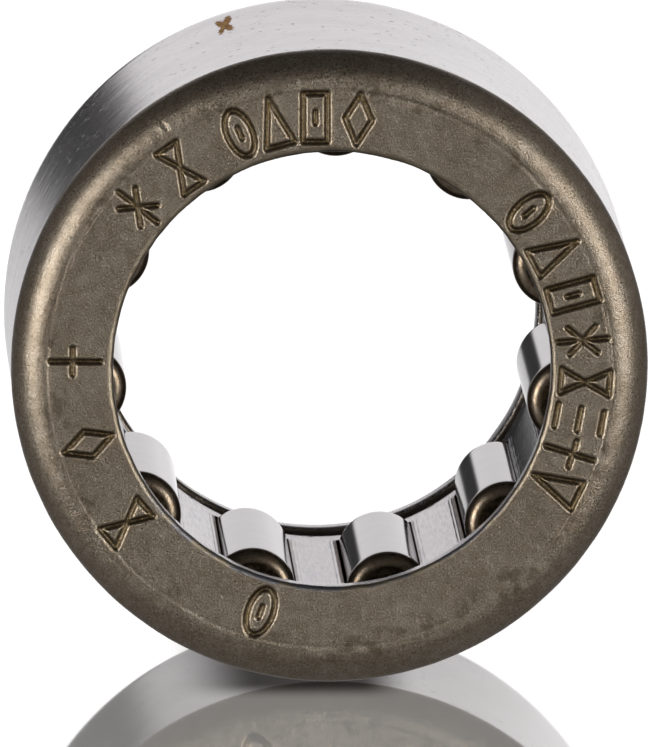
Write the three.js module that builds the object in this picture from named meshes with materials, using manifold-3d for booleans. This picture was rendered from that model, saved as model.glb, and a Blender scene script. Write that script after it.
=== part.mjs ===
// Drawn cup needle roller bearing with a cage, open at both ends.
// Millimetres. The bearing's axis is +Y, its stamped face looks along -Y, and the origin is the
// centre of the bearing. +Z is up, with the bearing standing on its rim.

import * as THREE from 'three';
import { mergeVertices } from 'three/addons/utils/BufferGeometryUtils.js';
import Module from 'manifold-3d';

// ---- Driving dimensions -------------------------------------------------
const OUTER_DIAMETER = 11.0;      // cup, fits the housing
const WIDTH = 9.0;                // cup, face to face
const INSCRIBED_DIAMETER = 7.03;  // circle under the needles, 7 mm shaft plus running clearance

const NEEDLE_COUNT = 11;
const NEEDLE_DIAMETER = 1.5;
const NEEDLE_LENGTH = 5.8;
const NEEDLE_END_ROUND = 0.22;    // rounding of the needle's end edge
const FIRST_NEEDLE_DEG = 14.6;    // first pocket, from straight down, towards +X
const SETTLE_DEG = 0.4;           // a needle rests this far down in its pocket

const LIP_THICKNESS = 0.5;
const FRONT_HOLE_RADIUS = 3.78;   // lip hole, stamped side
const BACK_HOLE_RADIUS = 3.86;    // lip hole, bent side
const LIP_EDGE_ROUND = 0.09;      // rounding of the lip holes' edges
const FRONT_CORNER_ROUND = 0.6;   // outer corner of the drawn end
const BACK_CORNER_ROUND = 0.6;    // outer corner of the bent end
const INNER_CORNER_ROUND = 0.2;   // raceway to lip
const RACEWAY_CLEARANCE = 0.015;  // radial play of the needles under the raceway

const CAGE_INNER_RADIUS = 3.93;
const CAGE_SHEET = 0.42;          // sheet thickness of the cage
const CAGE_FLANGE_RADIUS = 4.88;  // outturned flanges, guided by the raceway
const CAGE_LENGTH = 7.64;
const CAGE_SHIFT = -0.12;         // the cage sits this far towards the front lip
const CAGE_BEND_ROUND = 0.25;     // outer bend of a flange
const POCKET_PLAY = 0.05;         // radial play of a needle in its pocket
const POCKET_END_PLAY = 0.05;     // play at each end of a needle

const CUP_SEGMENTS = 88;
const CAGE_SEGMENTS = 8 * NEEDLE_COUNT;
const NEEDLE_SEGMENTS = 20;

// ---- Derived dimensions -------------------------------------------------
const R_OUT = OUTER_DIAMETER / 2;
const R_NEEDLE = NEEDLE_DIAMETER / 2;
const R_PITCH = INSCRIBED_DIAMETER / 2 + R_NEEDLE;
const R_RACEWAY = R_PITCH + R_NEEDLE + RACEWAY_CLEARANCE;
const HALF = WIDTH / 2;

// ---- Helpers ------------------------------------------------------------
const v2 = (x, y) => new THREE.Vector2(x, y);

// Points of an arc round (cx, cy), ends included, angles in degrees.
function arc(cx, cy, r, from, to, steps) {
  const points = [];
  for (let i = 0; i <= steps; i++) {
    const a = THREE.MathUtils.degToRad(from + ((to - from) * i) / steps);
    points.push(v2(cx + r * Math.cos(a), cy + r * Math.sin(a)));
  }
  return points;
}

// A solid of revolution round Y. With flats set, the middles of the facets lie on the profile's
// radii and the facets face squarely down, up and to the sides.
function lathe(points, segments, flats) {
  const k = flats ? 1 / Math.cos(Math.PI / segments) : 1;
  const start = flats ? Math.PI / segments : 0;
  const profile = points.map((p) => v2(p.x * k, p.y));
  return new THREE.LatheGeometry(profile, segments, start, Math.PI * 2);
}

function closed(points) {
  return [...points, points[0].clone()];
}

const wasm = await Module();
wasm.setup();

function toSolid(geometry) {
  const bare = geometry.clone();
  bare.deleteAttribute('normal');
  bare.deleteAttribute('uv');
  const merged = mergeVertices(bare, 1e-4);
  const index = merged.getIndex().array;
  const vertProperties = new Float32Array(merged.getAttribute('position').array);
  // Triangles that collapsed when their corners were merged are dropped.
  const kept = [];
  for (let i = 0; i < index.length; i += 3) {
    const [a, b, c] = [index[i], index[i + 1], index[i + 2]];
    if (a !== b && b !== c && a !== c) kept.push(a, b, c);
  }
  return new wasm.Manifold(new wasm.Mesh({ numProp: 3, vertProperties, triVerts: new Uint32Array(kept) }));
}

function toGeometry(solid) {
  const mesh = solid.getMesh();
  const geometry = new THREE.BufferGeometry();
  geometry.setAttribute('position', new THREE.BufferAttribute(new Float32Array(mesh.vertProperties), 3));
  geometry.setIndex(new THREE.BufferAttribute(new Uint32Array(mesh.triVerts), 1));
  geometry.computeVertexNormals();
  return geometry;
}

function piece(name, geometry, color, roughness, metalness) {
  const material = new THREE.MeshStandardMaterial({ color, roughness, metalness });
  const mesh = new THREE.Mesh(geometry, material);
  mesh.name = name;
  return mesh;
}

// ---- Outer cup: wall and both lips, one drawn sheet -----------------------
function cupGeometry() {
  const rf = FRONT_CORNER_ROUND;
  const rb = BACK_CORNER_ROUND;
  const re = LIP_EDGE_ROUND;
  const ri = INNER_CORNER_ROUND;
  const inner = HALF - LIP_THICKNESS;
  return lathe(closed([
    // outside, from the front face round the corner, along the wall, to the back face
    ...arc(R_OUT - rf, -HALF + rf, rf, -90, 0, 4),
    ...arc(R_OUT - rb, HALF - rb, rb, 0, 90, 3),
    // back lip hole
    ...arc(BACK_HOLE_RADIUS + re, HALF - re, re, 90, 180, 1),
    ...arc(BACK_HOLE_RADIUS + re, inner + re, re, 180, 270, 1),
    // raceway
    ...arc(R_RACEWAY - ri, inner - ri, ri, 90, 0, 2),
    ...arc(R_RACEWAY - ri, -inner + ri, ri, 0, -90, 2),
    // front lip hole
    ...arc(FRONT_HOLE_RADIUS + re, -inner - re, re, 90, 180, 1),
    ...arc(FRONT_HOLE_RADIUS + re, -HALF + re, re, 180, 270, 1),
  ]), CUP_SEGMENTS, true);
}

// ---- Cage: sheet ring with outturned flanges and one pocket per needle ----
function cageGeometry() {
  const y0 = CAGE_SHIFT - CAGE_LENGTH / 2;
  const y1 = CAGE_SHIFT + CAGE_LENGTH / 2;
  const b = CAGE_BEND_ROUND;
  const web = CAGE_INNER_RADIUS + CAGE_SHEET;
  const ring = lathe(closed([
    ...arc(CAGE_INNER_RADIUS + b, y0 + b, b, 180, 270, 3),
    v2(CAGE_FLANGE_RADIUS, y0),
    v2(CAGE_FLANGE_RADIUS, y0 + CAGE_SHEET),
    v2(web, y0 + CAGE_SHEET),
    v2(web, y1 - CAGE_SHEET),
    v2(CAGE_FLANGE_RADIUS, y1 - CAGE_SHEET),
    v2(CAGE_FLANGE_RADIUS, y1),
    ...arc(CAGE_INNER_RADIUS + b, y1 - b, b, 90, 180, 3),
  ]), CAGE_SEGMENTS, false);

  // Pocket section: round under the needle, so that its inner edges keep the needle in, and
  // straight-sided above the needle's middle.
  const rp = R_NEEDLE + POCKET_PLAY;
  const steps = 12;
  const around = rp / Math.cos(Math.PI / steps / 2);
  const section = new THREE.Shape();
  section.moveTo(rp, 0.6);
  section.lineTo(-rp, 0.6);
  for (const p of arc(0, 0, around, 180, 360, steps)) section.lineTo(p.x, p.y);
  section.closePath();
  const length = NEEDLE_LENGTH + 2 * POCKET_END_PLAY;

  let cage = toSolid(ring);
  for (let i = 0; i < NEEDLE_COUNT; i++) {
    const cutter = new THREE.ExtrudeGeometry(section, { depth: length, bevelEnabled: false, curveSegments: 1 });
    cutter.translate(0, 0, -length / 2);      // section in XY, length along Z
    cutter.translate(0, R_PITCH, 0);          // outwards is +Y for now
    cutter.rotateX(-Math.PI / 2);             // length along Y, outwards is -Z
    cutter.rotateY(-pocketAngle(i));
    cutter.translate(0, CAGE_SHIFT, 0);
    const tool = toSolid(cutter);
    const next = cage.subtract(tool);
    cage.delete();
    tool.delete();
    cage = next;
  }
  return toGeometry(cage);
}

// ---- Needle roller ---------------------------------------------------------
function needleGeometry() {
  const h = NEEDLE_LENGTH / 2;
  const e = NEEDLE_END_ROUND;
  return lathe([
    v2(0, -h),
    ...arc(R_NEEDLE - e, -h + e, e, -90, 0, 2),
    ...arc(R_NEEDLE - e, h - e, e, 0, 90, 2),
    v2(0, h),
  ], NEEDLE_SEGMENTS, false);
}

// Angle of a pocket from straight down, towards +X, in radians.
function pocketAngle(i) {
  return THREE.MathUtils.degToRad(FIRST_NEEDLE_DEG + (360 / NEEDLE_COUNT) * i);
}

// Angle of a needle, which has rolled down against the lower side of its pocket.
function needleAngle(i) {
  const a = pocketAngle(i);
  return a - THREE.MathUtils.degToRad(SETTLE_DEG) * Math.tanh(6 * Math.sin(a));
}

// ---- Assembly --------------------------------------------------------------
const group = new THREE.Group();
group.add(piece('outer_cup', cupGeometry(), 0x8d857c, 0.42, 1.0));

const rolling = new THREE.Group();
rolling.add(piece('needle_cage', cageGeometry(), 0xb9b6b4, 0.3, 1.0));
for (let i = 0; i < NEEDLE_COUNT; i++) {
  const name = 'needle_' + String(i + 1).padStart(2, '0');
  const needle = piece(name, needleGeometry(), 0xd6d4d2, 0.12, 1.0);
  const a = needleAngle(i);
  needle.position.set(R_PITCH * Math.sin(a), CAGE_SHIFT, -R_PITCH * Math.cos(a));
  rolling.add(needle);
}
group.add(rolling);

export default group;
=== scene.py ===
# Looks of a drawn cup needle roller bearing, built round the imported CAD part.
# Axis +Y, stamped face towards -Y, +Z up, metres. Lengths named *_MM are millimetres.
import math

import bmesh
import bpy
import numpy as np
from mathutils import Matrix, Vector


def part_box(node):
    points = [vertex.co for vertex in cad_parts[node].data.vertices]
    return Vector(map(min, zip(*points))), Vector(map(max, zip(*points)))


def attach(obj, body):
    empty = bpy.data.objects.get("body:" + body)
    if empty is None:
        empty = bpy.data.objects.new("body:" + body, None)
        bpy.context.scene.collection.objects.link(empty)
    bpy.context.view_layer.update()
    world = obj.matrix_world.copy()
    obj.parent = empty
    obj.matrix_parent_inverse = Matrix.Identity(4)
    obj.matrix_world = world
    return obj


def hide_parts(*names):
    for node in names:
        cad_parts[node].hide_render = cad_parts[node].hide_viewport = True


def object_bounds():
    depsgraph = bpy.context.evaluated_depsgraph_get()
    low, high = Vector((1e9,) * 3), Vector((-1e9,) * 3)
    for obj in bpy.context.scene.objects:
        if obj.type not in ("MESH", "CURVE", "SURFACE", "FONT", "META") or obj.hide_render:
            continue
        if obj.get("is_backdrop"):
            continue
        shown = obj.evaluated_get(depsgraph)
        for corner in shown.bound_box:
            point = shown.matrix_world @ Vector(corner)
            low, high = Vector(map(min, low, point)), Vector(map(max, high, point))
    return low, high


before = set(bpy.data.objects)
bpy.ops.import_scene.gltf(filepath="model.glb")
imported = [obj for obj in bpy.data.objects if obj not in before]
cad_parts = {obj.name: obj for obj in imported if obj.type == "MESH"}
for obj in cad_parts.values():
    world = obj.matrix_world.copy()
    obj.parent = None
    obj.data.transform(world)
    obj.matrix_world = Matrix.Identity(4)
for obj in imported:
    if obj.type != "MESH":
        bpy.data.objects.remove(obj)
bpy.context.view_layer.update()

MM = 0.001
NEEDLES = sorted(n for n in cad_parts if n.startswith("needle_") and n != "needle_cage")

# ---- Sizes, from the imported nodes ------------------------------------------
lo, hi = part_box("outer_cup")
R_OUT = (hi.z - lo.z) / 2 / MM
HALF = (hi.y - lo.y) / 2 / MM
cage_lo, cage_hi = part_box("needle_cage")
CAGE_Y0, CAGE_Y1 = cage_lo.y / MM, cage_hi.y / MM
CAGE_FLANGE = (cage_hi.x - cage_lo.x) / 2 / MM
needle_boxes = {n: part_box(n) for n in NEEDLES}
first_lo, first_hi = needle_boxes[NEEDLES[0]]
NEEDLE_HALF = (first_hi.y - first_lo.y) / 2 / MM
centres = {n: (Vector(a) + Vector(b)) / 2 for n, (a, b) in needle_boxes.items()}
R_PITCH = 4.265
R_NEEDLE = 0.75

LIP = 0.5
FRONT_HOLE, BACK_HOLE = 3.78, 3.86
LIP_ROUND = 0.09
CORNER = 0.6
RACEWAY = 5.03
CAGE_INNER, CAGE_OUTER, CAGE_SHEET = 3.93, 4.35, 0.42
POCKET_Y0, POCKET_Y1 = -3.07, 2.83
POCKET_RADIUS = 0.772
COUNT = len(NEEDLES)
FIRST_DEG = 14.6


# ---- Mesh helpers -----------------------------------------------------------
def smooth(lo_, hi_, x):
    t = np.clip((x - lo_) / (hi_ - lo_), 0, 1)
    return t * t * (3 - 2 * t)


def arc(cx, cy, r, a0, a1, n):
    """Points of an arc, both ends included, angles in degrees."""
    a = np.radians(np.linspace(a0, a1, n + 1))
    return [(cx + r * math.cos(t), cy + r * math.sin(t)) for t in a]


def line(p, q, n):
    """n points strictly between p and q."""
    return [(p[0] + (q[0] - p[0]) * k / (n + 1), p[1] + (q[1] - p[1]) * k / (n + 1)) for k in range(1, n + 1)]


def new_mesh(name, verts, faces, attributes=None):
    """A mesh object from vertices in metres and polygons, shaded smooth, its faces turned outwards."""
    verts = np.asarray(verts, float)
    sizes = np.array([len(f) for f in faces])
    tri = np.array([(f[0], f[k], f[k + 1]) for f in faces for k in range(1, len(f) - 1)])
    a, b, c = verts[tri[:, 0]], verts[tri[:, 1]], verts[tri[:, 2]]
    if np.einsum("ij,ij->i", a, np.cross(b, c)).sum() < 0:
        faces = [tuple(reversed(f)) for f in faces]
    mesh = bpy.data.meshes.new(name)
    mesh.vertices.add(len(verts))
    mesh.vertices.foreach_set("co", verts.astype(np.float32).ravel())
    loops = np.concatenate([np.asarray(f) for f in faces])
    mesh.loops.add(len(loops))
    mesh.loops.foreach_set("vertex_index", loops.astype(np.int32))
    mesh.polygons.add(len(faces))
    starts = np.concatenate([[0], np.cumsum(sizes)[:-1]])
    mesh.polygons.foreach_set("loop_start", starts.astype(np.int32))
    mesh.polygons.foreach_set("use_smooth", np.ones(len(faces), bool))
    mesh.update(calc_edges=True)
    mesh.validate()
    # every face is turned to agree with its neighbours, and the whole to face outwards
    shell = bmesh.new()
    shell.from_mesh(mesh)
    bmesh.ops.recalc_face_normals(shell, faces=shell.faces)
    if shell.calc_volume(signed=True) < 0:
        bmesh.ops.reverse_faces(shell, faces=shell.faces)
    shell.to_mesh(mesh)
    shell.free()
    mesh.update()
    for key, values in (attributes or {}).items():
        at = mesh.attributes.new(key, "FLOAT", "POINT")
        at.data.foreach_set("value", np.asarray(values, np.float32))
    ob = bpy.data.objects.new(name, mesh)
    bpy.context.scene.collection.objects.link(ob)
    return ob


class Noise:
    """Smooth value noise on a lattice that wraps round in its first direction."""

    def __init__(self, seed, n, m):
        self.v = np.random.RandomState(seed).rand(n, m) * 2 - 1
        self.n, self.m = n, m

    def at(self, turn, across):
        """turn is 0 to 1 round the ring, across is 0 to 1 over the lattice's width."""
        x = (turn % 1.0) * self.n
        y = np.clip(across, 0, 0.999999) * (self.m - 1)
        i, j = np.floor(x).astype(int), np.floor(y).astype(int)
        fx, fy = x - i, y - j
        fx, fy = fx * fx * (3 - 2 * fx), fy * fy * (3 - 2 * fy)
        i0, i1 = i % self.n, (i + 1) % self.n
        j1 = np.minimum(j + 1, self.m - 1)
        a = self.v[i0, j] * (1 - fx) + self.v[i1, j] * fx
        b = self.v[i0, j1] * (1 - fx) + self.v[i1, j1] * fx
        return a * (1 - fy) + b * fy


# ---- Stamped marks: plain geometric figures, as polylines in mm --------------
def ring_points(r, n=18, cx=0.0, cy=0.0):
    return [(cx + r * math.cos(2 * math.pi * k / n), cy + r * math.sin(2 * math.pi * k / n)) for k in range(n + 1)]


MARKS = {
    "lozenge": [[(0, .44), (.23, 0), (0, -.44), (-.23, 0), (0, .44)]],
    "triangle": [[(0, .43), (.25, -.41), (-.25, -.41), (0, .43)]],
    "wedge": [[(0, -.43), (.25, .41), (-.25, .41), (0, -.43)]],
    "cross": [[(0, .43), (0, -.43)], [(-.23, .05), (.23, .05)]],
    "bars": [[(-.20, .40), (.20, .40)], [(-.20, 0), (.20, 0)], [(-.20, -.40), (.20, -.40)]],
    "star": [[(0, .43), (0, -.43)], [(-.23, .24), (.23, -.24)], [(-.23, -.24), (.23, .24)]],
    "glass": [[(-.21, .42), (.21, .42), (-.21, -.42), (.21, -.42), (-.21, .42)]],
    "ring": [[(x, y * 1.9) for x, y in ring_points(.22)], [(0, -.10), (0, .10)]],
    "box": [[(.21, .42), (.21, -.42), (-.21, -.42), (-.21, .42), (.21, .42)], [(0, -.10), (0, .10)]],
}
# (figure, clock angle in degrees from the top)
STAMPED = [
    ("star", -49.5), ("glass", -36.4),
    ("ring", -20.8), ("triangle", -12.6), ("box", -3.4), ("lozenge", 6.4),
    ("ring", 51.5), ("triangle", 62.5), ("box", 73.0), ("star", 83.5),
    ("glass", 93.0), ("bars", 101.5), ("cross", 109.5), ("wedge", 117.5),
    ("glass", -127.0), ("lozenge", -107.0), ("cross", -88.0),
    ("ring", 196.0),
]
MARK_RADIUS = 4.39
STROKE = 0.122


def stroke_distance(x, z):
    """Distance of each face point from the nearest stroke of a mark, in mm."""
    best = np.full(x.shape, 9.0)
    rng = np.random.RandomState(41)
    for figure, clock in STAMPED:
        a = math.radians(clock)
        lean = math.radians(rng.uniform(-4, 4))
        radius = MARK_RADIUS + rng.uniform(-.03, .03)
        cx, cz = radius * math.sin(a), radius * math.cos(a)
        near = np.hypot(x - cx, z - cz) < 0.68
        if not near.any():
            continue
        # v points outwards, u clockwise
        dx, dz = x[near] - cx, z[near] - cz
        v = dx * math.sin(a + lean) + dz * math.cos(a + lean)
        u = dx * math.cos(a + lean) - dz * math.sin(a + lean)
        d = np.full(u.shape, 9.0)
        for poly in MARKS[figure]:
            for (x0, y0), (x1, y1) in zip(poly[:-1], poly[1:]):
                ex, ey = x1 - x0, y1 - y0
                t = np.clip(((u - x0) * ex + (v - y0) * ey) / max(ex * ex + ey * ey, 1e-9), 0, 1)
                d = np.minimum(d, np.hypot(u - x0 - t * ex, v - y0 - t * ey))
        best[near] = np.minimum(best[near], d)
    return best


# ---- Outer cup ----------------------------------------------------------------
def build_cup():
    fine, coarse = 1200, 300
    step = fine // coarse
    re, rc = LIP_ROUND, CORNER
    inner = HALF - LIP
    face = arc(FRONT_HOLE + re, -HALF + re, re, 180, 270, 5)
    face += line((FRONT_HOLE + re, -HALF), (R_OUT - rc, -HALF), 41)
    face += arc(R_OUT - rc, -HALF + rc, rc, -90, -3, 13)
    n_fillet, n_flat = 6, 41
    rest = []
    # the ground wall is a hundredth slimmer at its middle
    span = HALF - rc
    rest += [(R_OUT - .012 * (1 - (y / span) ** 2), y) for y in (-3.84, -3.6, -3.1, -2.4, -1.6, -.8, 0, .8, 1.6, 2.4, 3.1, 3.6)]
    rest += arc(R_OUT - rc, HALF - rc, rc, 0, 90, 12)
    rest += line((R_OUT - rc, HALF), (BACK_HOLE + re, HALF), 9)
    rest += arc(BACK_HOLE + re, HALF - re, re, 90, 180, 5)
    rest += line((BACK_HOLE, HALF - re), (BACK_HOLE, inner + re), 2)
    rest += arc(BACK_HOLE + re, inner + re, re, 180, 270, 5)
    rest += line((BACK_HOLE + re, inner), (RACEWAY - .2, inner), 3)
    rest += arc(RACEWAY - .2, inner - .2, .2, 90, 0, 4)
    rest += line((RACEWAY, inner - .2), (RACEWAY, -inner + .2), 5)
    rest += arc(RACEWAY - .2, -inner + .2, .2, 0, -90, 4)
    rest += line((RACEWAY - .2, -inner), (FRONT_HOLE + re, -inner), 3)
    rest += arc(FRONT_HOLE + re, -inner - re, re, 90, 180, 5)
    rest += line((FRONT_HOLE, -inner - re), (FRONT_HOLE, -HALF + re), 2)

    face = np.array(face)
    t = np.arange(fine) / fine
    phi = 2 * math.pi * t
    rows, n = len(face), fine
    R = np.repeat(face[:, :1], n, 1)
    Y = np.repeat(face[:, 1:], n, 1)
    T = np.repeat(t[None], rows, 0)
    # outward direction of each row in the (r, y) plane
    d = np.gradient(face, axis=0)
    d /= np.linalg.norm(d, axis=1)[:, None]
    nr, ny = d[:, 1][:, None].copy(), -d[:, 0][:, None].copy()
    flat = np.zeros(rows, bool)
    flat[n_fillet:n_fillet + n_flat] = True
    nr[flat], ny[flat] = 0, -1

    # lip hole edge, a little uneven
    edge_fade = np.clip(1 - (R - FRONT_HOLE) / .22, 0, 1) ** 1.5
    R = R + edge_fade * (.006 * Noise(3, 110, 2).at(T, 0 * T) + .0022 * Noise(4, 420, 2).at(T, 0 * T))
    # the hole is punched a little off the centre of the wall
    R = R + np.clip(1 - (R - FRONT_HOLE) / .9, 0, 1) * .034 * np.sin(2 * math.pi * T)

    x, z = R * np.sin(2 * math.pi * T), R * np.cos(2 * math.pi * T)
    h = np.zeros_like(R)
    on_face = smooth(3.80, 3.90, R)
    # ridge where the flat ends and the corner begins
    wander = 4.90 + .018 * Noise(5, 34, 2).at(T, 0 * T) + .006 * Noise(6, 160, 2).at(T, 0 * T)
    strength = .75 + .5 * Noise(7, 40, 2).at(T, 0 * T)
    h += strength * (.0044 * np.exp(-((R - wander) / .022) ** 2) - .007 * np.exp(-((R - wander + .055) / .03) ** 2))
    # slow unevenness of a pressed face
    across = (R - 3.7) / 1.8
    h += .0035 * Noise(8, 60, 5).at(T, across) + .0016 * Noise(9, 240, 16).at(T, across)
    # marks
    dist = stroke_distance(x, z)
    groove = (1 - smooth(0, STROKE * .58, dist)) ** .8
    rim = np.exp(-((dist - STROKE * .66) / .014) ** 2)
    h += -.056 * groove + .005 * rim
    # small dents
    rng = np.random.RandomState(12)
    dents = [(5.10, -34.0, .055, .016), (5.12, -146.9, .04, .012), (4.77, -139.8, .03, .010)]
    for _ in range(64):
        dents.append((rng.uniform(3.95, 5.2), rng.uniform(-180, 180), rng.uniform(.012, .038), rng.uniform(.003, .009)))
    for rad, clock, size, depth in dents:
        a = math.radians(clock)
        q = np.hypot(x - rad * math.sin(a), z - rad * math.cos(a)) / size
        h += -depth * np.exp(-q ** 2) + .45 * depth * np.exp(-((q - 1.5) / .45) ** 2)
    # fine scratches: long shallow lines
    for _ in range(46):
        a = rng.uniform(-math.pi, math.pi)
        rad = rng.uniform(3.95, 5.05)
        way, length = rng.uniform(0, math.pi), rng.uniform(.15, .8)
        px, pz = rad * math.sin(a), rad * math.cos(a)
        ex, ez = math.cos(way), math.sin(way)
        s = (x - px) * ex + (z - pz) * ez
        w = np.abs(-(x - px) * ez + (z - pz) * ex)
        h += -rng.uniform(.001, .0028) * np.exp(-(w / .012) ** 2) * smooth(length / 2, length / 2 * .6, np.abs(s))
    h *= on_face
    R2, Y2 = R + h * nr, Y + h * ny
    face_v = np.stack([R2 * np.sin(2 * math.pi * T), Y2, R2 * np.cos(2 * math.pi * T)], -1).reshape(-1, 3)

    rest = np.array(rest)
    tc = np.arange(coarse) / coarse
    TC = np.repeat(tc[None], len(rest), 0)
    RC = np.repeat(rest[:, :1], coarse, 1)
    YC = np.repeat(rest[:, 1:], coarse, 1)
    # bent back lip: its hole edge and its face wander a little
    back = smooth(3.6, 4.3, YC) * smooth(4.6, 3.9, RC)
    RC = RC + back * (.010 * Noise(14, 40, 2).at(TC, 0 * TC) - .036 * np.sin(2 * math.pi * TC))
    front = smooth(-3.9, -4.1, YC) * smooth(4.6, 3.9, RC)
    RC = RC + front * .034 * np.sin(2 * math.pi * TC)
    rest_v = np.stack([RC * np.sin(2 * math.pi * TC), YC, RC * np.cos(2 * math.pi * TC)], -1).reshape(-1, 3)

    verts = np.concatenate([face_v, rest_v]) * MM
    faces = []
    for i in range(rows - 1):
        for j in range(n):
            k = (j + 1) % n
            faces.append((i * n + j, i * n + k, (i + 1) * n + k, (i + 1) * n + j))
    base = rows * n
    for i in range(len(rest) - 1):
        for j in range(coarse):
            k = (j + 1) % coarse
            faces.append((base + i * coarse + j, base + i * coarse + k, base + (i + 1) * coarse + k, base + (i + 1) * coarse + j))

    def stitch(fine_row, coarse_row, flip):
        for j in range(coarse):
            c0, c1 = base + coarse_row * coarse + j, base + coarse_row * coarse + (j + 1) % coarse
            f = [fine_row * n + (step * j + m) % n for m in range(step + 1)]
            fans = [(c0, f[m], f[m + 1]) for m in range(step // 2)]
            fans.append((c0, f[step // 2], c1))
            fans += [(c1, f[m], f[m + 1]) for m in range(step // 2, step)]
            for tri in fans:
                faces.append(tuple(reversed(tri)) if flip else tri)

    stitch(rows - 1, 0, False)
    stitch(0, len(rest) - 1, True)
    zeros = np.zeros(len(rest_v))
    groove_at = np.concatenate([((1 - smooth(STROKE * .30, STROKE * .58, dist)) * on_face).ravel(), zeros])
    rim_at = np.concatenate([(rim * on_face).ravel(), zeros])
    return new_mesh("cup_shell", verts, faces, {"groove": groove_at, "rim": rim_at})


# ---- Cage -----------------------------------------------------------------------
def pocket_edge(radius):
    """Half angle of the pocket at a radius: round under the needle's middle, straight above it."""
    c = (radius ** 2 + R_PITCH ** 2 - POCKET_RADIUS ** 2) / (2 * radius * R_PITCH)
    a = math.acos(min(1, c))
    if radius * math.cos(a) > R_PITCH:
        a = math.asin(POCKET_RADIUS / radius)
    return a


def pocket_loop(a, b, rc, nl, nw, nc):
    """Points of a rounded rectangle of half sizes a and b, corner radius rc, starting at (a, -b + rc)."""
    out = []
    for sx, sy, first in ((1, 1, 0), (-1, 1, 1), (-1, -1, 2), (1, -1, 3)):
        cx, cy = sx * (a - rc), sy * (b - rc)
        start = first * 90
        if first % 2 == 0:   # a long side leads here
            other = -cy
            for k in range(nl):
                out.append((cx + sx * rc, other + (cy - other) * k / nl))
        else:
            other = -cx
            for k in range(nw):
                out.append((other + (cx - other) * k / nw, cy + sy * rc))
        for k in range(nc):
            t = math.radians(start + 90 * k / nc)
            out.append((cx + rc * math.cos(t), cy + rc * math.sin(t)))
    return np.array(out)


def outer_loop(a, b, loop_corner, A, B, nl, nw, nc):
    """The matching points on the rectangle of half sizes A and B."""
    out = []
    for sx, sy, first in ((1, 1, 0), (-1, 1, 1), (-1, -1, 2), (1, -1, 3)):
        cx, cy = sx * (a - loop_corner), sy * (b - loop_corner)
        if first % 2 == 0:
            other = -cy
            for k in range(nl):
                out.append((sx * A, other + (cy - other) * k / nl))
            for k in range(nc):
                f = k / nc
                out.append((sx * A, cy + (sy * B - cy) * f * 2) if f < .5 else (sx * A + (cx - sx * A) * (f - .5) * 2, sy * B))
        else:
            other = -cx
            for k in range(nw):
                out.append((other + (cx - other) * k / nw, sy * B))
            for k in range(nc):
                f = k / nc
                out.append((cx + (sx * A - cx) * f * 2, sy * B) if f < .5 else (sx * A, sy * B + (cy - sy * B) * (f - .5) * 2))
    return np.array(out)


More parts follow.
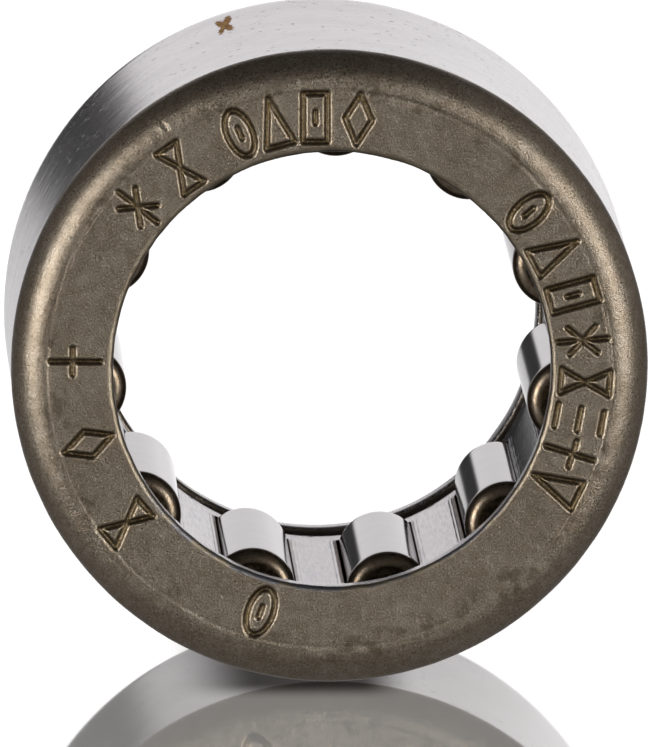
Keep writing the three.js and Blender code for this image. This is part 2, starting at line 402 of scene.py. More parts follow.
def build_cage():
    nl, nw, nc = 30, 10, 6
    sector = math.pi / COUNT
    mid = (POCKET_Y0 + POCKET_Y1) / 2
    half_len = (POCKET_Y1 - POCKET_Y0) / 2
    bend, fold = .25, .06
    verts, faces, edge_at = [], [], []
    total = 0

    def add_rows(rows_xyz, wrap, marks):
        nonlocal total
        m = len(rows_xyz[0])
        start = total
        for row, mark in zip(rows_xyz, marks):
            verts.append(row)
            edge_at.append(np.broadcast_to(np.asarray(mark, float), (m,)))
            total += m
        for i in range(len(rows_xyz) - 1):
            for j in range(m if wrap else m - 1):
                k = (j + 1) % m
                p = start + i * m
                faces.append((p + j, p + k, p + m + k, p + m + j))

    for s in range(COUNT):
        centre = math.radians(FIRST_DEG) + s * 2 * sector
        rng = np.random.RandomState(100 + s)

        def place(theta, radius, y):
            a = centre + theta
            return np.stack([radius * np.sin(a), y, -radius * np.cos(a)], -1)

        rows, marks = [], []
        a_in, a_out = pocket_edge(CAGE_INNER), pocket_edge(CAGE_OUTER)
        fil = .022
        # outer surface, from the sector's border in to the pocket
        y_lo, y_hi = CAGE_Y0 + CAGE_SHEET + fold, CAGE_Y1 - CAGE_SHEET - fold
        ycen = mid

        def surface(radius, edge, ds, lifts, y_front, y_back, fracs, flip):
            """Loops at distances ds from the pocket's edge, and the border beyond them."""
            got = []
            A = sector * radius
            for dd, lift in zip(ds, lifts):
                loop = pocket_loop(edge * radius + dd, half_len + dd, .11 + dd, nl, nw, nc)
                got.append((loop, lift))
            last = pocket_loop(edge * radius + ds[-1], half_len + ds[-1], .11 + ds[-1], nl, nw, nc)
            rect = outer_loop(edge * radius + ds[-1], half_len + ds[-1], .11 + ds[-1], A, 1.0, nl, nw, nc)
            # the border's ends lie at different distances from the pocket's middle
            yy = rect[:, 1]
            top, bottom = np.isclose(yy, 1.0), np.isclose(yy, -1.0)
            c = half_len - .11
            far_hi, far_lo = y_back - ycen, ycen - y_front
            side = ~(top | bottom)
            # the points along the sides beyond the pocket's corner are picked out
            beyond_hi, beyond_lo = side & (yy > c + 1e-9), side & (yy < -c - 1e-9)
            rect[:, 1] = np.where(top, far_hi, np.where(bottom, -far_lo, yy))
            return got, last, rect, beyond_hi, beyond_lo

        def rect_loop(radius, edge, dd, y_front, y_back):
            """The sector's border, point for point with a pocket loop."""
            A = sector * radius
            loop = outer_loop(edge * radius + dd, half_len + dd, .11 + dd, A, 10.0, nl, nw, nc)
            c = half_len - .11
            y = loop[:, 1]
            far_hi, far_lo = y_back - ycen, ycen - y_front
            up, down = y > c, y < -c
            y2 = y.copy()
            y2[up] = c + (y[up] - c) / (10.0 - c) * (far_hi - c)
            y2[down] = -c - (-y[down] - c) / (10.0 - c) * (far_lo - c)
            loop[:, 1] = y2
            return loop

        def to_rows(loop, radius, lift=0.0, tilt=None):
            return place(loop[:, 0] / radius, radius + lift, ycen + loop[:, 1])

        # weight of the burr lines: along the long edges only
        base_loop = pocket_loop(a_in * CAGE_INNER, half_len, .11, nl, nw, nc)
        along = smooth(half_len + .02, half_len - .25, np.abs(base_loop[:, 1]))
        wob = 1 + .35 * np.sin(base_loop[:, 1] * rng.uniform(3, 6) + rng.uniform(0, 6)) * along
        # the needle rests against one side of its pocket; the lines along the other side, by the open gap, get more
        # painted shade
        shaded_side = np.where(base_loop[:, 0] < 0, 1.0, .38)

        # inner surface
        ends = .16
        border_in = rect_loop(CAGE_INNER, a_in, ends, CAGE_Y0 + bend, CAGE_Y1 - bend)
        ring_in = pocket_loop(a_in * CAGE_INNER + ends, half_len + ends, .11 + ends, nl, nw, nc)
        for f in (0.0, .25, .5, .75):
            rows.append(to_rows(border_in * (1 - f) + ring_in * f, CAGE_INNER)); marks.append(0)
        rows.append(to_rows(ring_in, CAGE_INNER)); marks.append(0)
        # two thin pressed lines beside the pocket
        for dd, lift, mark in ((.135, 0, 0), (.128, .003, .2), (.120, .005, .4), (.112, .002, .2), (.105, 0, 0),
                               (.075, 0, 0), (.068, .005, .4), (.060, .008, .7), (.052, .003, .7), (.045, 0, .7),
                               (fil, 0, .8)):
            loop = pocket_loop(a_in * CAGE_INNER + dd, half_len + dd, .11 + dd, nl, nw, nc)
            rows.append(place(loop[:, 0] / CAGE_INNER, CAGE_INNER - lift * along * wob, ycen + loop[:, 1]))
            marks.append(mark * along * shaded_side)
        # rounded edge into the pocket, then the wall
        # the edge marks on the pocket's rounded edge and wall paint them dark: painted shade in the gap beside the
        # needle
        for k in range(1, 4):
            t = math.radians(90 * k / 3)
            dd, rise = fil * (1 - math.sin(t)), fil * (1 - math.cos(t))
            e = pocket_edge(CAGE_INNER + rise)
            loop = pocket_loop(e * (CAGE_INNER + rise) + dd, half_len + dd, .11 + dd, nl, nw, nc)
            rows.append(to_rows(loop, CAGE_INNER + rise)); marks.append(.8)
        for w in np.linspace(0.12, 0.88, 7):
            radius = CAGE_INNER + w * CAGE_SHEET
            e = pocket_edge(radius)
            rows.append(to_rows(pocket_loop(e * radius, half_len, .11, nl, nw, nc), radius)); marks.append(1)
        for k in range(0, 4):
            t = math.radians(90 * k / 3)
            dd, drop = fil * (1 - math.cos(t)), fil * (1 - math.sin(t))
            radius = CAGE_OUTER - drop
            e = pocket_edge(radius)
            loop = pocket_loop(e * radius + dd, half_len + dd, .11 + dd, nl, nw, nc)
            rows.append(to_rows(loop, radius)); marks.append(.2)
        # outer surface
        ring_out = pocket_loop(a_out * CAGE_OUTER + .1, half_len + .1, .21, nl, nw, nc)
        border_out = rect_loop(CAGE_OUTER, a_out, .1, y_lo, y_hi)
        for f in (0.0, .5, 1.0):
            rows.append(to_rows(border_out * f + ring_out * (1 - f), CAGE_OUTER)); marks.append(0)
        add_rows(rows, True, marks)

        # flanges: strips from the inner border round the bend to the outer border
        def end_points(loop, radius, want):
            near = np.isclose(loop[:, 1], want, atol=1e-6)
            th = np.unique(np.round(loop[near, 0] / radius, 9))
            return np.sort(th)

        for sign in (-1, 1):
            y_end = CAGE_Y0 if sign < 0 else CAGE_Y1
            t_in = end_points(border_in, CAGE_INNER, (CAGE_Y0 + bend - ycen) if sign < 0 else (CAGE_Y1 - bend - ycen))
            t_out = end_points(border_out, CAGE_OUTER, (y_lo - ycen) if sign < 0 else (y_hi - ycen))
            prof = []
            for k in range(0, 7):
                t = math.radians(90 * k / 6)
                prof.append((CAGE_INNER + bend * (1 - math.cos(t)), y_end - sign * bend * (1 - math.sin(t))))
            f2 = .05
            prof += [(CAGE_INNER + bend + (CAGE_FLANGE - f2 - CAGE_INNER - bend) * k / 3, y_end) for k in (1, 2, 3)]
            for k in range(1, 4):
                t = math.radians(90 * k / 3)
                prof.append((CAGE_FLANGE - f2 * (1 - math.sin(t)), y_end - sign * f2 * (1 - math.cos(t))))
            inner_y = y_end - sign * CAGE_SHEET
            prof.append((CAGE_FLANGE, inner_y + sign * f2))
            for k in range(1, 4):
                t = math.radians(90 * k / 3)
                prof.append((CAGE_FLANGE - f2 * (1 - math.cos(t)), inner_y + sign * f2 * (1 - math.sin(t))))
            prof.append(((CAGE_FLANGE - f2 + CAGE_OUTER + fold) / 2, inner_y))
            for k in range(0, 4):
                t = math.radians(90 * k / 3)
                prof.append((CAGE_OUTER + fold * (1 - math.sin(t)), inner_y - sign * fold * (1 - math.cos(t))))
            strip, strip_marks = [], []
            for k, (radius, y) in enumerate(prof):
                f = k / (len(prof) - 1)
                theta = t_in * (1 - f) + t_out * f
                strip.append(place(theta, np.full(theta.shape, radius), np.full(theta.shape, y)))
                strip_marks.append(0)
            if sign > 0:
                strip = [r[::-1] for r in strip]
            add_rows(strip, False, strip_marks)

    co = np.concatenate(verts)
    edge = np.concatenate(edge_at)
    # each pocket stands square to its own needle, which rests a little off the even spacing
    around, radial = np.arctan2(co[:, 0], -co[:, 2]), np.hypot(co[:, 0], co[:, 2])
    knots = []
    for i, node in enumerate(NEEDLES):
        even = math.radians(FIRST_DEG) + i * 2 * sector
        real = math.atan2(centres[node].x, -centres[node].z)
        off = (real - even + math.pi) % (2 * math.pi) - math.pi - .014 / R_PITCH
        for turn in (-2 * math.pi, 0, 2 * math.pi):
            for half in (-1, 1):
                knots.append((even + turn + half * math.radians(12), off))
    knots.sort()
    around = around + np.interp(around, [k[0] for k in knots], [k[1] for k in knots])
    co = np.stack([radial * np.sin(around), co[:, 1], -radial * np.cos(around)], -1)
    # weld the sectors and strips
    key = np.round(co, 5)
    _, first, inverse = np.unique(key, axis=0, return_index=True, return_inverse=True)
    inverse = inverse.ravel()
    co, edge = co[first], edge[first]
    out = []
    for f in faces:
        g = [int(inverse[i]) for i in f]
        h = [v for i, v in enumerate(g) if v != g[i - 1]]
        if len(h) >= 3:
            out.append(tuple(h))
    return new_mesh("cage_shell", co * MM, out, {"edge": edge})


# ---- Needle roller ------------------------------------------------------------------
def build_needle(name, seed):
    n = 112
    e = .22
    h = NEEDLE_HALF
    r = R_NEEDLE
    # half profile, from the middle of one end
    half = [(0, -h + .012), (.10, -h + .008), (.22, -h + .002), (.36, -h), (.48, -h)]
    half += [(r - e + e * math.sin(math.radians(a)), -h + e - e * math.cos(math.radians(a))) for a in range(0, 91, 10)]
    half += [(r + .0006, -h + .34), (r + .0009, -h + .6), (r + .001, -h + 1.3)]
    profile = half + [(a, -b) for a, b in reversed(half)]
    rng = np.random.RandomState(seed)
    turn = rng.uniform(0, 2 * math.pi)
    phi = turn + 2 * math.pi * np.arange(n) / n
    rows = [np.array([[0, profile[0][1], 0]])]
    for a, b in profile[1:-1]:
        rows.append(np.stack([a * np.sin(phi), np.full(n, b), a * np.cos(phi)], -1))
    rows.append(np.array([[0, profile[-1][1], 0]]))
    verts = np.concatenate(rows) * MM
    faces = [(0, 1 + (j + 1) % n, 1 + j) for j in range(n)]
    for i in range(len(profile) - 3):
        p = 1 + i * n
        for j in range(n):
            k = (j + 1) % n
            faces.append((p + j, p + k, p + n + k, p + n + j))
    last = 1 + (len(profile) - 2) * n
    p = last - n
    faces += [(p + j, p + (j + 1) % n, last) for j in range(n)]
    return new_mesh(name, verts, faces)


# ---- Material helpers -----------------------------------------------------------------
class Mat:
    """Short calls for building one node tree."""

    def __init__(self, name):
        self.mat = bpy.data.materials.new(name)
        self.mat.use_nodes = True
        self.tree = self.mat.node_tree
        self.tree.nodes.clear()
        self.out = self.tree.nodes.new("ShaderNodeOutputMaterial")
        self.bsdf = self.tree.nodes.new("ShaderNodeBsdfPrincipled")
        self.tree.links.new(self.bsdf.outputs[0], self.out.inputs["Surface"])
        self.step = 0

    def node(self, kind, **props):
        n = self.tree.nodes.new(kind)
        self.step += 1
        n.location = (-220 * (self.step % 9), -160 * (self.step // 9))
        for k, v in props.items():
            setattr(n, k, v)
        return n

    def put(self, value, socket):
        if isinstance(value, bpy.types.NodeSocket):
            self.tree.links.new(value, socket)
        else:
            socket.default_value = value

    def math(self, op, a, b=0.0, c=None, clamp=False):
        n = self.node("ShaderNodeMath", operation=op, use_clamp=clamp)
        self.put(a, n.inputs[0])
        self.put(b, n.inputs[1])
        if c is not None:
            self.put(c, n.inputs[2])
        return n.outputs[0]

    def vec(self, op, a, b=None):
        n = self.node("ShaderNodeVectorMath", operation=op)
        self.put(a, n.inputs[0])
        if b is not None:
            self.put(b, n.inputs[1])
        return n.outputs["Value"] if op in ("LENGTH", "DOT_PRODUCT", "DISTANCE") else n.outputs["Vector"]

    def join(self, x, y, z):
        n = self.node("ShaderNodeCombineXYZ")
        for v, s in zip((x, y, z), n.inputs):
            self.put(v, s)
        return n.outputs[0]

    def split(self, v):
        n = self.node("ShaderNodeSeparateXYZ")
        self.put(v, n.inputs[0])
        return n.outputs

    def noise(self, vector, scale, detail=2.0, rough=.5, warp=0.0):
        n = self.node("ShaderNodeTexNoise")
        self.put(vector, n.inputs["Vector"])
        n.inputs["Scale"].default_value = scale
        n.inputs["Detail"].default_value = detail
        n.inputs["Roughness"].default_value = rough
        n.inputs["Distortion"].default_value = warp
        return n.outputs[0]

    def cells(self, vector, scale, out="Distance", feature="F1", randomness=1.0):
        n = self.node("ShaderNodeTexVoronoi", feature=feature)
        self.put(vector, n.inputs["Vector"])
        n.inputs["Scale"].default_value = scale
        n.inputs["Randomness"].default_value = randomness
        return n.outputs[out]

    def ease(self, x, a, b, to0=0.0, to1=1.0):
        n = self.node("ShaderNodeMapRange", interpolation_type="SMOOTHSTEP")
        self.put(x, n.inputs["Value"])
        n.inputs["From Min"].default_value = a
        n.inputs["From Max"].default_value = b
        n.inputs["To Min"].default_value = to0
        n.inputs["To Max"].default_value = to1
        return n.outputs[0]

    def mix(self, f, a, b, how="MIX"):
        n = self.node("ShaderNodeMix", data_type="RGBA", blend_type=how)
        self.put(f, n.inputs[0])
        for v, s in ((a, n.inputs[6]), (b, n.inputs[7])):
            self.put((*v, 1.0) if isinstance(v, tuple) else v, s)
        return n.outputs[2]

    def blend(self, f, a, b):
        n = self.node("ShaderNodeMix", data_type="FLOAT")
        self.put(f, n.inputs[0])
        self.put(a, n.inputs[2])
        self.put(b, n.inputs[3])
        return n.outputs[0]

    def attribute(self, name):
        return self.node("ShaderNodeAttribute", attribute_name=name).outputs["Fac"]

    def bump(self, height, distance, strength=1.0, before=None):
        n = self.node("ShaderNodeBump")
        self.put(strength, n.inputs["Strength"])
        n.inputs["Distance"].default_value = distance
        self.put(height, n.inputs["Height"])
        if before is not None:
            self.put(before, n.inputs["Normal"])
        return n.outputs[0]

    def mm(self):
        """Object position in millimetres."""
        tc = self.node("ShaderNodeTexCoord").outputs["Object"]
        n = self.node("ShaderNodeVectorMath", operation="SCALE")
        self.put(tc, n.inputs[0])
        n.inputs["Scale"].default_value = 1000.0
        return n.outputs[0]

    def set(self, **values):
        names = {"color": "Base Color", "metal": "Metallic", "rough": "Roughness", "normal": "Normal",
                 "tint": "Specular Tint", "aniso": "Anisotropic", "coat": "Coat Weight", "coat_rough": "Coat Roughness",
                 "spec": "Specular IOR Level", "ior": "IOR"}
        for k, v in values.items():
            self.put((*v, 1.0) if isinstance(v, tuple) and len(v) == 3 else v, self.bsdf.inputs[names[k]])


def cup_steel():
    m = Mat("cup_steel")
    p = m.mm()
    x, y, z = m.split(p)
    r = m.vec("LENGTH", m.join(x, 0.0, z))
    groove, rim = m.attribute("groove"), m.attribute("rim")

    # zones: matt drawn end and corner, ground wall, dark inside
    ragged = m.math("MULTIPLY_ADD", m.noise(m.join(x, 0.0, z), 5.0, 3.0, .6), .10, -.05)
    ragged = m.math("ADD", ragged, m.math("MULTIPLY_ADD", m.noise(p, 34.0, 1.0), .05, -.025))
    front = m.ease(m.math("ADD", y, ragged), -3.885, -3.940)
    back = m.ease(m.math("ADD", y, ragged), 3.99, 4.06)
    matt = m.math("MAXIMUM", front, back)
    deep = m.math("MULTIPLY", m.ease(r, 5.25, 5.15), m.ease(m.math("ABSOLUTE", y), 4.10, 4.04))

    # fine grain and blotches of the matt surface
    grain = m.noise(p, 30.0, 3.0, .62)
    grain2 = m.noise(p, 75.0, 2.0, .55)
    blotch = m.noise(p, 1.5, 4.0, .6)
    blotch2 = m.noise(p, 5.5, 3.0, .6)
    matt_col = m.mix(m.ease(blotch, .35, .68), (.258, .216, .167), (.305, .263, .212))
    matt_col = m.mix(m.ease(blotch2, .42, .70, 0, .62), matt_col, (.215, .172, .125))
    matt_col = m.mix(m.ease(blotch2, .44, .30, 0, .45), matt_col, (.365, .322, .265))
    matt_col = m.mix(m.ease(grain, .34, .50, .55, 0), matt_col, (.125, .095, .062))
    matt_col = m.mix(m.ease(grain, .54, .70, 0, .50), matt_col, (.50, .45, .385))
    specks = m.cells(p, 7.0)
    matt_col = m.mix(m.ease(specks, .10, .05, 0, .55), matt_col, (.12, .085, .05))
    # oil stains where the flat meets the corner
    stain = m.math("MULTIPLY", m.ease(m.noise(p, 2.3, 5.0, .65), .53, .62), m.math("MULTIPLY", m.ease(r, 4.45, 4.75), m.ease(r, 5.20, 4.95)))
    matt_col = m.mix(m.math("MULTIPLY", stain, .6), matt_col, (.115, .088, .058))
    # oil and oxide in the stamped strokes, worn bright on their rims
    matt_col = m.mix(m.math("MULTIPLY", groove, m.ease(grain, .3, .6, .92, .66)), matt_col, (.066, .042, .010))
    matt_col = m.mix(m.math("MULTIPLY", rim, m.ease(blotch2, .35, .6, .05, .30)), matt_col, (.58, .48, .33))
    # outer half of the corner painted darker: partly its dark oxide, partly painted shade where this half turns away
    # from the lamps
    outer = m.math("MULTIPLY", m.ease(r, 5.20, 5.46), front)
    matt_col = m.mix(m.math("MULTIPLY", outer, m.ease(grain, .35, .6, .42, .22)), matt_col, (.105, .080, .055))
    # the lip hole's edge is bare steel; its colour by height is a painted reflection, blue-grey low down and warm
    # above, lighter and yellower in random patches
    low = m.mix(m.ease(z, -1.6, -3.0), (.255, .212, .158), (.225, .222, .240))
    edge = m.ease(m.math("ADD", r, m.math("MULTIPLY", ragged, .3)), 3.872, 3.845)
    matt_col = m.mix(edge, matt_col, m.mix(m.ease(m.noise(p, 2.2, 2.0), .45, .60), low, (.330, .285, .215)))
    # inside the hole the punch has left it smooth
    punched = m.math("MULTIPLY", m.ease(m.math("ABSOLUTE", y), 4.43, 4.39), m.ease(r, 3.90, 3.87))

    # ground wall: rings of fine grinding lines, pits, faint haze
    rings = m.noise(m.join(m.math("MULTIPLY", x, 1.3), m.math("MULTIPLY", y, 46.0), m.math("MULTIPLY", z, 1.3)), 1.0, 3.0, .6)
    rings2 = m.noise(m.join(m.math("MULTIPLY", x, 2.6), m.math("MULTIPLY", y, 15.0), m.math("MULTIPLY", z, 2.6)), 1.0, 2.0, .6)
    haze = m.noise(p, .9, 3.0, .55)
    wall_col = m.mix(m.ease(haze, .35, .65), (.405, .386, .393), (.488, .470, .478))
    wall_col = m.mix(m.ease(rings, .30, .48, .55, 0), wall_col, (.33, .305, .305))
    pit_v = m.join(m.math("MULTIPLY", x, .62), m.math("MULTIPLY", y, .8), m.math("MULTIPLY", z, .62))
    pit = m.math("MULTIPLY", m.ease(m.cells(pit_v, 5.2), .16, .07), m.ease(m.noise(p, 1.1, 2.0), .42, .56))
    pit2 = m.math("MULTIPLY", m.ease(m.cells(pit_v, 12.0), .20, .10), m.ease(m.noise(p, 2.3, 1.0), .50, .62))
    pits = m.math("MAXIMUM", pit, m.math("MULTIPLY", pit2, .7))
    wall_col = m.mix(m.math("MULTIPLY", pits, .72), wall_col, (.13, .11, .105))
    # one small star of rust on the wall
    a = math.radians(-17.8)
    spot = (R_OUT * math.sin(a), 2.1, R_OUT * math.cos(a))
    off = m.vec("SUBTRACT", p, spot)
    ox, oy, oz = m.split(off)
    along = m.math("ADD", m.math("MULTIPLY", ox, math.cos(a)), m.math("MULTIPLY", oz, -math.sin(a)))
    deep_y = m.math("MULTIPLY", oy, .135)
    turn = m.math("ARCTAN2", deep_y, along)
    lobes = m.math("SINE", m.math("MULTIPLY_ADD", turn, 4.0, 4.3))
    lobes = m.math("ADD", lobes, m.math("MULTIPLY", m.math("SINE", m.math("ADD", turn, .9)), .35))
    reach = m.math("SQRT", m.math("ADD", m.math("MULTIPLY", along, along), m.math("MULTIPLY", deep_y, deep_y)))
    star = m.math("SUBTRACT", reach, m.math("MULTIPLY_ADD", lobes, .050, .125))
    star = m.math("ADD", star, m.math("MULTIPLY_ADD", m.noise(p, 9.0, 3.0), .16, -.08))
    rust = m.ease(star, .030, -.020)
    rust = m.math("MULTIPLY", rust, m.ease(z, 4.0, 4.5))
    wall_col = m.mix(m.math("MULTIPLY", rust, .95), wall_col, m.mix(m.ease(m.noise(p, 11.0, 2.0), .42, .58), (.42, .20, .06), (.85, .50, .16)))

    col = m.mix(matt, wall_col, matt_col)
    col = m.mix(deep, col, m.mix(m.ease(blotch, .4, .6), (.10, .085, .065), (.16, .14, .115)))

    col = m.mix(punched, col, m.mix(m.ease(rings, .35, .6), (.40, .39, .40), (.50, .485, .49)))

    r_matt = m.ease(grain, .3, .7, .27, .38)
    r_matt = m.blend(m.math("MULTIPLY", rim, .6), r_matt, .26)
    r_matt = m.blend(m.math("MULTIPLY", groove, .6), r_matt, .34)
    r_wall = m.ease(rings, .25, .75, .07, .17)
    r_wall = m.math("ADD", r_wall, m.math("MULTIPLY", pits, .25))
    r_wall = m.blend(rust, r_wall, .7)
    r_matt = m.blend(edge, r_matt, .33)
    rough = m.blend(deep, m.blend(matt, r_wall, r_matt), .30)
    rough = m.blend(punched, rough, .09)

    h_matt = m.math("ADD", m.math("MULTIPLY", grain, .0075), m.math("MULTIPLY", grain2, .0024))
    h_matt = m.math("ADD", h_matt, m.math("MULTIPLY", blotch2, .006))
    h_wall = m.math("ADD", m.math("MULTIPLY", rings, .00024), m.math("MULTIPLY", rings2, .0006))
    h_wall = m.math("SUBTRACT", h_wall, m.math("MULTIPLY", pits, .004))
    h_wall = m.math("ADD", h_wall, m.math("MULTIPLY", rust, .004))
    h_wall = m.math("ADD", h_wall, m.math("MULTIPLY", m.noise(p, 1.6, 2.0), .0030))
    height = m.blend(matt, h_wall, h_matt)
    m.set(color=col, metal=1.0, rough=rough, normal=m.bump(height, 0.001), tint=(.62, .607, .613))
    return m.mat


def cage_steel():
    m = Mat("cage_steel")
    p = m.mm()
    x, y, z = m.split(p)
    edge = m.attribute("edge")
    r = m.vec("LENGTH", m.join(x, 0.0, z))
    draw = m.noise(m.join(m.math("MULTIPLY", x, 30.0), m.math("MULTIPLY", y, 1.6), m.math("MULTIPLY", z, 30.0)), 1.0, 3.0, .6)
    cloud = m.noise(p, .8, 3.0, .55)
    smear = m.noise(m.join(m.math("MULTIPLY", x, 2.2), m.math("MULTIPLY", y, .7), m.math("MULTIPLY", z, 2.2)), 1.0, 3.0, .6, .6)
    col = m.mix(m.ease(cloud, .35, .65), (.44, .422, .427), (.485, .47, .48))
    col = m.mix(m.ease(draw, .28, .42, .08, 0), col, (.35, .33, .33))
    col = m.mix(m.ease(smear, .55, .70, 0, .45), col, (.27, .29, .335))
    # painted shade: one stretch of the webs, low on the right, is darkened and its reflection dulled
    turn = m.math("ADD", m.math("ARCTAN2", x, m.math("MULTIPLY", z, -1.0)), m.math("MULTIPLY_ADD", smear, .16, -.08))
    painted_dark_sector = m.math("MULTIPLY", m.ease(turn, math.radians(36), math.radians(50)), m.ease(turn, math.radians(84), math.radians(76)))
    painted_dark_sector = m.math("MULTIPLY", painted_dark_sector, m.ease(cloud, .30, .50, .70, .92))
    col = m.mix(painted_dark_sector, col, (.118, .121, .134))
    dirt = m.math("MULTIPLY", m.ease(m.cells(p, 6.0), .14, .06), m.ease(m.noise(p, 1.7, 2.0), .50, .62))
    col = m.mix(m.math("MULTIPLY", dirt, .6), col, (.10, .08, .06))
    # oil along the pressed lines, and painted shade on the pocket's edge and wall beside the needle: darker, rougher,
    # with a dulled reflection
    col = m.mix(m.math("MULTIPLY", edge, .72), col, (.10, .085, .07))
    # turned edges and flanges, past the sheet's inner face
    col = m.mix(m.ease(r, 4.0, 4.1, 0, .5), col, (.19, .165, .135))
    rough = m.ease(draw, .3, .7, .10, .20)
    rough = m.math("ADD", rough, m.math("MULTIPLY", edge, .24))
    rough = m.math("ADD", rough, m.math("MULTIPLY", dirt, .3))
    h = m.math("ADD", m.math("MULTIPLY", draw, .00012), m.math("MULTIPLY", m.noise(p, 1.8, 2.0), .0014))
    h = m.math("SUBTRACT", h, m.math("MULTIPLY", dirt, .003))
    m.set(color=col, metal=1.0, rough=rough, normal=m.bump(h, 0.001),
          tint=m.mix(edge, m.mix(painted_dark_sector, (.585, .572, .58), (.275, .278, .290)), (.20, .17, .15)))
    return m.mat


def needle_steel():
    m = Mat("needle_steel")
    p = m.mm()
    x, y, z = m.split(p)
    r = m.vec("LENGTH", m.join(x, 0.0, z))
    off = m.math("ABSOLUTE", y)
    end = m.ease(off, NEEDLE_HALF - .17, NEEDLE_HALF - .14)
    flat = m.ease(r, .56, .50)
    lines = m.noise(m.join(m.math("MULTIPLY", x, 1.6), m.math("MULTIPLY", y, 60.0), m.math("MULTIPLY", z, 1.6)), 1.0, 2.0, .5)
    haze = m.noise(p, 1.3, 3.0, .5)
    body = m.mix(m.ease(haze, .35, .65), (.43, .415, .418), (.462, .45, .456))
    body = m.mix(m.ease(lines, .30, .42, .18, 0), body, (.33, .31, .305))
    fleck = m.math("MULTIPLY", m.ease(m.cells(p, 5.0), .10, .05), m.ease(haze, .50, .62))
    body = m.mix(m.math("MULTIPLY", fleck, .6), body, (.12, .10, .08))
    turned = m.noise(m.join(m.math("MULTIPLY", r, 26.0), 0.0, m.math("MULTIPLY", haze, 2.0)), 1.0, 2.0, .5)
    tip = m.mix(m.ease(turned, .35, .65), (.168, .137, .104), (.226, .184, .139))
    tip = m.mix(m.ease(m.noise(p, 12.0, 2.0), .42, .65, 0, .6), tip, (.13, .09, .055))
    disc = m.mix(m.ease(m.noise(p, 9.0, 3.0), .4, .65), (.034, .024, .015), (.095, .070, .045))
    tip = m.mix(m.math("MULTIPLY", flat, m.ease(off, NEEDLE_HALF - .10, NEEDLE_HALF - .03)), tip, disc)
    col = m.mix(end, body, tip)
    rough = m.blend(end, m.ease(lines, .3, .7, .045, .10), .31)
    h = m.math("ADD", m.math("MULTIPLY", lines, .00012), m.math("MULTIPLY", m.math("MULTIPLY", end, m.noise(p, 22.0, 2.0)), .004))
    m.set(color=col, metal=1.0, rough=rough, normal=m.bump(h, 0.001), tint=m.mix(end, (.585, .575, .58), (.42, .36, .30)))
    return m.mat


def floor_material():
    """White acrylic on a light table: it glows a little, and mirrors more towards a grazing view."""
    m = Mat("floor_gloss")
    tc = m.node("ShaderNodeTexCoord").outputs["Object"]
    diffuse = m.node("ShaderNodeBsdfDiffuse")
    diffuse.inputs["Color"].default_value = (.80, .80, .795, 1)
    glow = m.node("ShaderNodeEmission")
    glow.inputs["Color"].default_value = (1, .995, .985, 1)
    glow.inputs["Strength"].default_value = .34
    under = m.node("ShaderNodeAddShader")
    m.tree.links.new(diffuse.outputs[0], under.inputs[0])
    m.tree.links.new(glow.outputs[0], under.inputs[1])
    gloss = m.node("ShaderNodeBsdfGlossy")
    gloss.inputs["Color"].default_value = (.97, .97, .965, 1)
    gloss.inputs["Roughness"].default_value = .03
    layer = m.node("ShaderNodeLayerWeight")
    layer.inputs["Blend"].default_value = .5
    # reflectivity rises towards grazing view
    f = m.ease(layer.outputs["Facing"], .45, 1.0, .06, .80)
    f = m.math("ADD", f, m.math("MULTIPLY_ADD", m.noise(tc, 60.0, 2.0), .02, -.01))
    # painted contact shadow: the narrow gap under the ring's wall, beside the line it stands on, is darkened, in its
    # glow and its reflection too
    x, y, z = m.split(tc)
    painted_contact_shade = m.math("MULTIPLY", m.ease(x, -.0029, -.0012), m.ease(x, .0005, .0016, 1, 0))
    painted_contact_shade = m.math("MULTIPLY", painted_contact_shade, m.ease(m.math("ABSOLUTE", y), .0041, .0066, 1, 0))
    m.tree.links.new(m.mix(painted_contact_shade, (.80, .80, .795), (.10, .095, .09)), diffuse.inputs["Color"])
    m.tree.links.new(m.ease(painted_contact_shade, 0, 1, .34, .03), glow.inputs["Strength"])
    m.tree.links.new(m.mix(painted_contact_shade, (.97, .97, .965), (.12, .115, .11)), gloss.inputs["Color"])
    mixer = m.node("ShaderNodeMixShader")
    m.tree.links.new(f, mixer.inputs[0])
    m.tree.links.new(under.outputs[0], mixer.inputs[1])
    m.tree.links.new(gloss.outputs[0], mixer.inputs[2])
    m.tree.links.new(mixer.outputs[0], m.out.inputs["Surface"])
    m.tree.nodes.remove(m.bsdf)
    return m.mat


# ---- Pieces on their bodies ---------------------------------------------------------------
cup = build_cup()
cup.data.materials.append(cup_steel())
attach(cup, "cup")
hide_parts("outer_cup")

cage = build_cage()
cage.data.materials.append(cage_steel())
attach(cage, "cage")
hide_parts("needle_cage")

steel = needle_steel()
for i, node in enumerate(NEEDLES):
    roller = build_needle("roller_" + node[-2:], 200 + i)
    roller.location = centres[node]
    roller.data.materials.append(steel)
    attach(roller, node)
    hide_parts(node)

# ---- Floor, light, camera ----------------------------------------------------------------
bpy.ops.mesh.primitive_plane_add(size=6.0, location=(0, 0, lo.z))
floor = bpy.context.object
floor.name = "floor"
floor.data.materials.append(floor_material())
floor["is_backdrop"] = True
# the table and what lies under it are one pale field to the metal, as the world draws them
floor.visible_glossy = False
floor.visible_shadow = False


CARD_MIDDLE = math.radians(-93)
CARD_HALF = math.radians(26)
CARD_SOFT = math.radians(6)


def direction(az, el):
    """Unit vector at azimuth az from +Y towards +X and elevation el, in degrees."""
    a, e = math.radians(az), math.radians(el)
    return (math.sin(a) * math.cos(e), math.cos(a) * math.cos(e), math.sin(e))


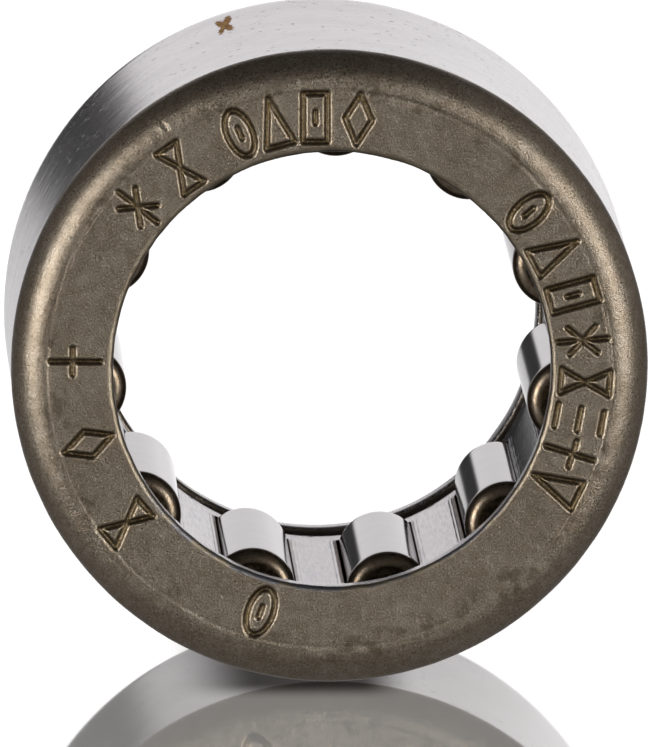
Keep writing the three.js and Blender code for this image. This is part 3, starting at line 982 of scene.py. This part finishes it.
def build_world():
    world = bpy.data.worlds.new("studio")
    bpy.context.scene.world = world
    world.use_nodes = True
    w = Mat.__new__(Mat)
    w.tree, w.step = world.node_tree, 0
    w.tree.nodes.clear()
    out = w.node("ShaderNodeOutputWorld")
    back = w.node("ShaderNodeBackground")
    w.tree.links.new(back.outputs[0], out.inputs["Surface"])
    d = w.node("ShaderNodeTexCoord").outputs["Generated"]
    x, y, z = w.split(d)
    # a white backdrop behind the object, a dim room round it, brighter to the right, a pale table
    flat = w.vec("NORMALIZE", w.join(x, y, 0.0))
    behind = w.vec("DOT_PRODUCT", flat, direction(0, 0))
    value = w.ease(behind, .2, -.6, .13, .078)
    value = w.math("ADD", value, w.ease(x, .30, .75, 0, .30))
    value = w.math("ADD", value, w.ease(x, -.40, -.75, 0, .15))
    value = w.math("MULTIPLY", value, w.ease(z, .25, .80, 1.0, .84))
    table = w.math("MULTIPLY", w.ease(z, -.85, -1, 1.0, .8), w.ease(behind, -.7, 0, .245, .33))
    value = w.blend(w.ease(z, .02, -.10), value, table)
    back_drop = w.math("MULTIPLY", w.ease(behind, math.cos(math.radians(26)), math.cos(math.radians(17))), w.math("MULTIPLY", w.ease(z, .46, .30), w.ease(z, -.50, -.20)))
    # the backdrop falls off downwards, most on the left
    fall = w.math("MULTIPLY", w.ease(z, .04, -.06), w.ease(x, -.05, .05, -.47, -.20))
    value = w.blend(back_drop, value, w.math("ADD", fall, 1.34))
    # a dark card low on the left of the backdrop, a wedge as seen from the object
    spoke = w.vec("NORMALIZE", w.join(x, 0.0, z))
    off = w.vec("DOT_PRODUCT", spoke, (math.sin(CARD_MIDDLE), 0.0, math.cos(CARD_MIDDLE)))
    card = w.ease(off, math.cos(CARD_HALF + CARD_SOFT), math.cos(CARD_HALF - CARD_SOFT))
    reach = w.vec("LENGTH", w.join(x, 0.0, z))
    card = w.math("MULTIPLY", card, w.ease(reach, .03, .06))
    card = w.math("MULTIPLY", card, w.ease(reach, .30, .22))
    card = w.math("MULTIPLY", card, w.ease(y, 0.0, .2))
    value = w.blend(card, value, .060)
    # two soft boxes either side of the camera
    for az, el, inner, outer, power in ((180 + 44.5, 5.5, 8, 15, 12.0), (180 - 37, 6, 7, 14.5, 9.6)):
        dot = w.vec("DOT_PRODUCT", d, direction(az, el))
        value = w.math("ADD", value, w.ease(dot, math.cos(math.radians(outer)), math.cos(math.radians(inner)), 0, power))
    colour = w.mix(w.ease(y, -.5, .6), (1.0, .975, .94), (1.0, .99, .995))
    w.tree.links.new(colour, back.inputs["Color"])
    w.tree.links.new(value, back.inputs["Strength"])
    world.cycles.sampling_method = "MANUAL"
    world.cycles.sample_map_resolution = 2048


build_world()


def build_camera():
    az, el, dist = math.radians(-1.5), math.radians(7.05), .5045
    back = Vector((math.sin(az) * math.cos(el), -math.cos(az) * math.cos(el), math.sin(el)))
    right = (-back).cross(Vector((0, 0, 1))).normalized()
    up = right.cross(-back).normalized()
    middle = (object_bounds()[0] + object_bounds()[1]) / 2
    aim = middle + right * 0.025 * MM - up * 0.622 * MM
    place = middle + back * dist
    data = bpy.data.cameras.new("camera")
    data.sensor_width = 36
    data.sensor_fit = "AUTO"
    data.lens = 1397.1
    data.clip_start, data.clip_end = .1, 10
    cam = bpy.data.objects.new("camera", data)
    bpy.context.scene.collection.objects.link(cam)
    forward = (aim - place).normalized()
    r2 = forward.cross(Vector((0, 0, 1))).normalized()
    u2 = r2.cross(forward).normalized()
    cam.matrix_world = Matrix((
        (r2.x, u2.x, -forward.x, place.x),
        (r2.y, u2.y, -forward.y, place.y),
        (r2.z, u2.z, -forward.z, place.z),
        (0, 0, 0, 1)))
    bpy.context.scene.camera = cam


build_camera()
bpy.context.scene.view_settings.view_transform = "Standard"
bpy.context.scene.view_settings.look = "None"
bpy.context.scene.view_settings.exposure = 0
bpy.context.scene.view_settings.gamma = 1

bpy.context.view_layer.update()
